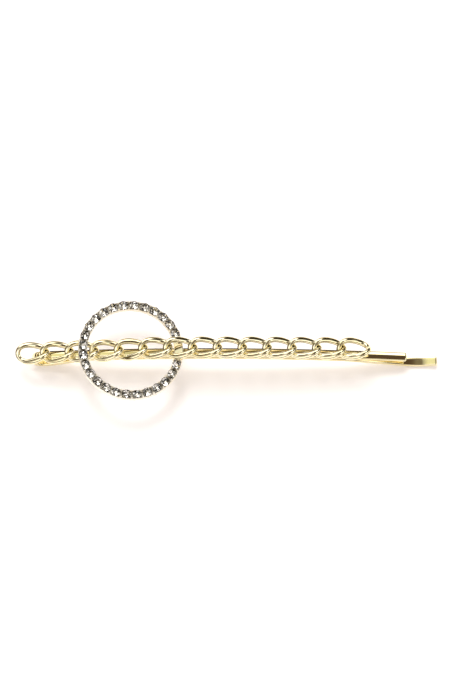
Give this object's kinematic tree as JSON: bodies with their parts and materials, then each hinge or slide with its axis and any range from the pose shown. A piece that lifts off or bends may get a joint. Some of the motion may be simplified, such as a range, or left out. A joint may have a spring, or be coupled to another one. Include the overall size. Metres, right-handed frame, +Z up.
{
  "type": "hair slide",
  "caption": "Gold-plated sprung hair pin with a curb chain along its upper leg and a round ring of clear stones threaded on the chain.",
  "frame": {"origin": "middle of the bounding box in plan, on the plane that the slide's two ends rest on", "axes": "+X from the closed bend towards the open tips, +Y across the pin away from the viewer in the picture, +Z up"},
  "size_m": [0.084, 0.0208, 0.0092],
  "materials": {
    "pin_gold": "gold plated spring steel, polished",
    "chain_gold": "pale gold plated, polished",
    "ring_gold": "pale gold plated, polished",
    "solder_gold": "gold plated solder, satin",
    "clear_stone": "clear cut glass"
  },
  "bodies": {
    "upper": {"pin_upper_leg": "pin_gold", "chain_link_01": "chain_gold", "chain_link_02": "chain_gold", "chain_link_03": "chain_gold", "chain_link_04": "chain_gold", "chain_link_05": "chain_gold", "chain_link_06": "chain_gold", "chain_link_07": "chain_gold", "chain_link_08": "chain_gold", "chain_link_09": "chain_gold", "chain_link_10": "chain_gold", "chain_link_11": "chain_gold", "chain_link_12": "chain_gold", "chain_link_13": "chain_gold", "chain_link_14": "chain_gold", "solder_joint_1": "solder_gold", "solder_joint_2": "solder_gold", "solder_joint_3": "solder_gold", "ring_frame": "ring_gold", "stone_01": "clear_stone", "stone_02": "clear_stone", "stone_03": "clear_stone", "stone_04": "clear_stone", "stone_05": "clear_stone", "stone_06": "clear_stone", "stone_07": "clear_stone", "stone_08": "clear_stone", "stone_09": "clear_stone", "stone_10": "clear_stone", "stone_11": "clear_stone", "stone_12": "clear_stone", "stone_13": "clear_stone", "stone_14": "clear_stone", "stone_15": "clear_stone", "stone_16": "clear_stone", "stone_17": "clear_stone", "stone_18": "clear_stone", "stone_19": "clear_stone", "stone_20": "clear_stone", "stone_21": "clear_stone", "stone_22": "clear_stone", "stone_23": "clear_stone", "stone_24": "clear_stone", "stone_25": "clear_stone", "stone_26": "clear_stone"},
    "lower": {"pin_lower_leg": "pin_gold"}
  },
  "joints": [
    {"name": "leg_opening", "type": "hinge", "parent": "upper", "child": "lower", "pos_m": [-0.03884, 0.00035, 0.00188], "axis": [0, 1, 0], "range_deg": [0, 8], "stiffness_Nm_per_rad": 0.3, "springref_deg": -1.72}
  ]
}
